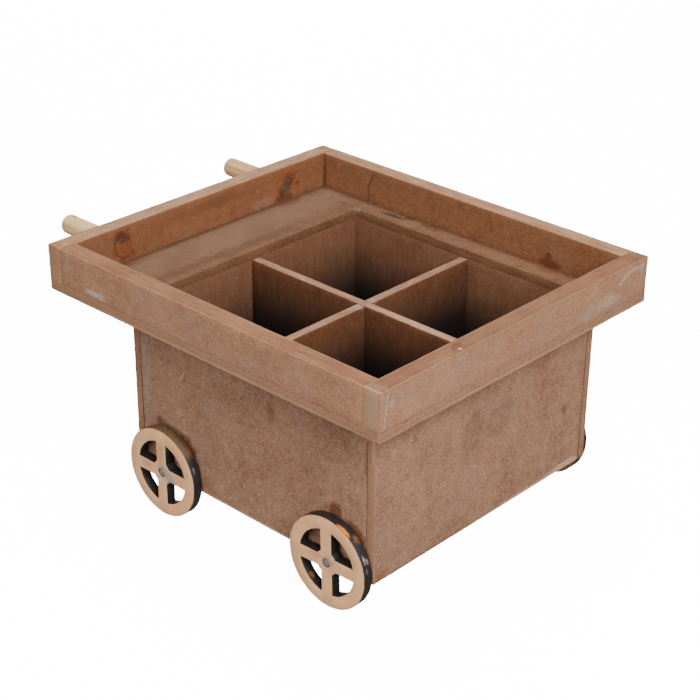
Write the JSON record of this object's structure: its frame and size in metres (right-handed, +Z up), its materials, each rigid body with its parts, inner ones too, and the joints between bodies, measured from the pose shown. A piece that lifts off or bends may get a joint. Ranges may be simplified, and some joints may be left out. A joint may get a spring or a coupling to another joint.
{
  "type": "small wooden display cart",
  "caption": "Small wooden hand cart: a divided box under a wide shallow tray, with dowel handles and spoked disc wheels that roll on pins.",
  "frame": {"origin": "on the ground, under the middle of the overall length and width", "axes": "+X forward, away from the handles; +Y to the left; +Z up"},
  "size_m": [0.158, 0.12, 0.0816],
  "materials": {
    "thick_board": "raw, sanded fibreboard",
    "thin_board": "raw, sanded fibreboard",
    "dowel": "raw softwood dowel",
    "wheel_board": "raw fibreboard with dark cut edges",
    "pin": "dull steel"
  },
  "bodies": {
    "cart_body": {"tray_floor": "thin_board", "rim_front": "thick_board", "rim_rear": "thick_board", "rim_left": "thick_board", "rim_right": "thick_board", "wall_left": "thin_board", "wall_right": "thin_board", "wall_front": "thin_board", "wall_rear": "thin_board", "box_floor": "thick_board", "divider_long": "thin_board", "divider_cross": "thin_board", "handle_left": "dowel", "handle_right": "dowel", "axle_pin_front_left": "pin", "axle_pin_front_right": "pin", "axle_pin_rear_left": "pin", "axle_pin_rear_right": "pin"},
    "wheel_front_left": {"wheel_front_left": "wheel_board"},
    "wheel_front_right": {"wheel_front_right": "wheel_board"},
    "wheel_rear_left": {"wheel_rear_left": "wheel_board"},
    "wheel_rear_right": {"wheel_rear_right": "wheel_board"}
  },
  "joints": [
    {"name": "wheel_front_left_roll", "type": "hinge", "parent": "cart_body", "child": "wheel_front_left", "pos_m": [0.05225, 0.0516, 0.01475], "axis": [0, 1, 0], "continuous": true},
    {"name": "wheel_front_right_roll", "type": "hinge", "parent": "cart_body", "child": "wheel_front_right", "pos_m": [0.05375, -0.0516, 0.01475], "axis": [0, 1, 0], "continuous": true},
    {"name": "wheel_rear_left_roll", "type": "hinge", "parent": "cart_body", "child": "wheel_rear_left", "pos_m": [-0.01675, 0.0516, 0.01475], "axis": [0, 1, 0], "continuous": true},
    {"name": "wheel_rear_right_roll", "type": "hinge", "parent": "cart_body", "child": "wheel_rear_right", "pos_m": [-0.01675, -0.0516, 0.01475], "axis": [0, 1, 0], "continuous": true}
  ]
}
